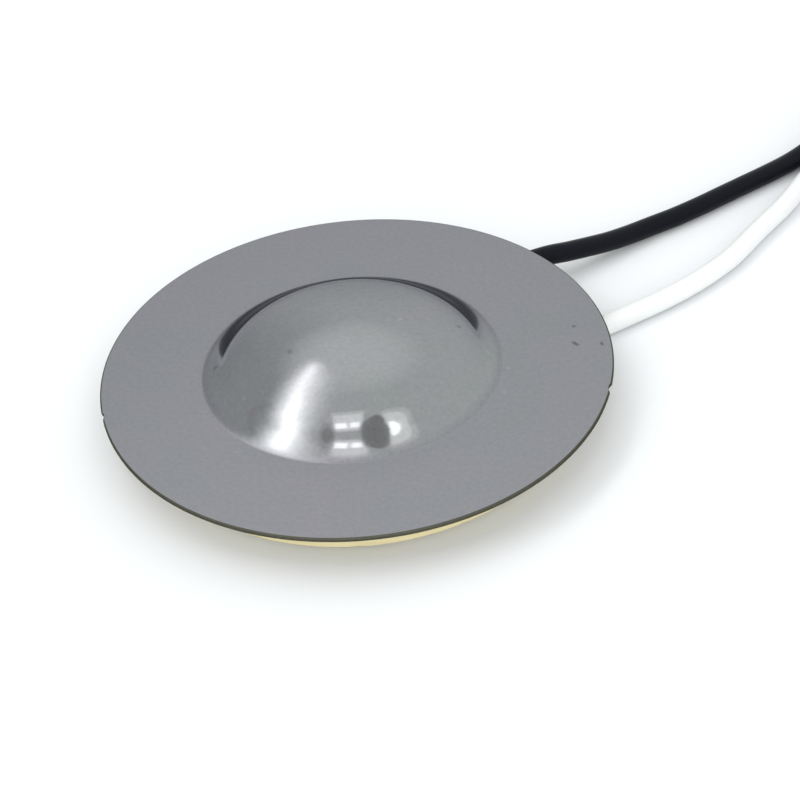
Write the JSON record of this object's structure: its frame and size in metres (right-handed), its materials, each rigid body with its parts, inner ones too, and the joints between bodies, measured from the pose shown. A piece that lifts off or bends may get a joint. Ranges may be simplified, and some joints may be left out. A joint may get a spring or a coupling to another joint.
{
  "type": "piezo disc",
  "caption": "Round ceramic piezo disc bonded under a thin metal diaphragm with a pressed dome, with a black and a white lead soldered to its two electrodes.",
  "frame": {"origin": "on the disc's axis, at the face that it rests on", "axes": "+Z along the disc's axis towards the top of the dome; +X towards the side where the leads leave, +Y away from the viewer of the picture"},
  "size_m": [0.078, 0.0508, 0.0064],
  "materials": {
    "diaphragm_metal": "satin grey, slightly glossier on the dome",
    "epoxy": "cured resin",
    "ceramic": "matte sintered",
    "silver": "fired silver, matte",
    "solder": "bright, smooth",
    "tinned_copper": "tinned strands",
    "black_insulation": "smooth vinyl",
    "white_insulation": "smooth vinyl",
    "tie_coating": "coated wire"
  },
  "bodies": {
    "root": {"diaphragm": "diaphragm_metal", "bond_layer": "epoxy", "upper_electrode": "silver", "ceramic_disc": "ceramic", "lower_electrode": "silver", "plate_solder_joint": "solder", "ceramic_solder_joint": "solder", "black_conductor": "tinned_copper", "white_conductor": "tinned_copper", "black_lead": "black_insulation", "white_lead": "white_insulation", "black_coil": "black_insulation", "white_coil": "white_insulation", "black_tail": "black_insulation", "white_tail": "white_insulation", "black_tinned_end": "tinned_copper", "white_tinned_end": "tinned_copper", "coil_tie": "tie_coating"}
  },
  "joints": []
}
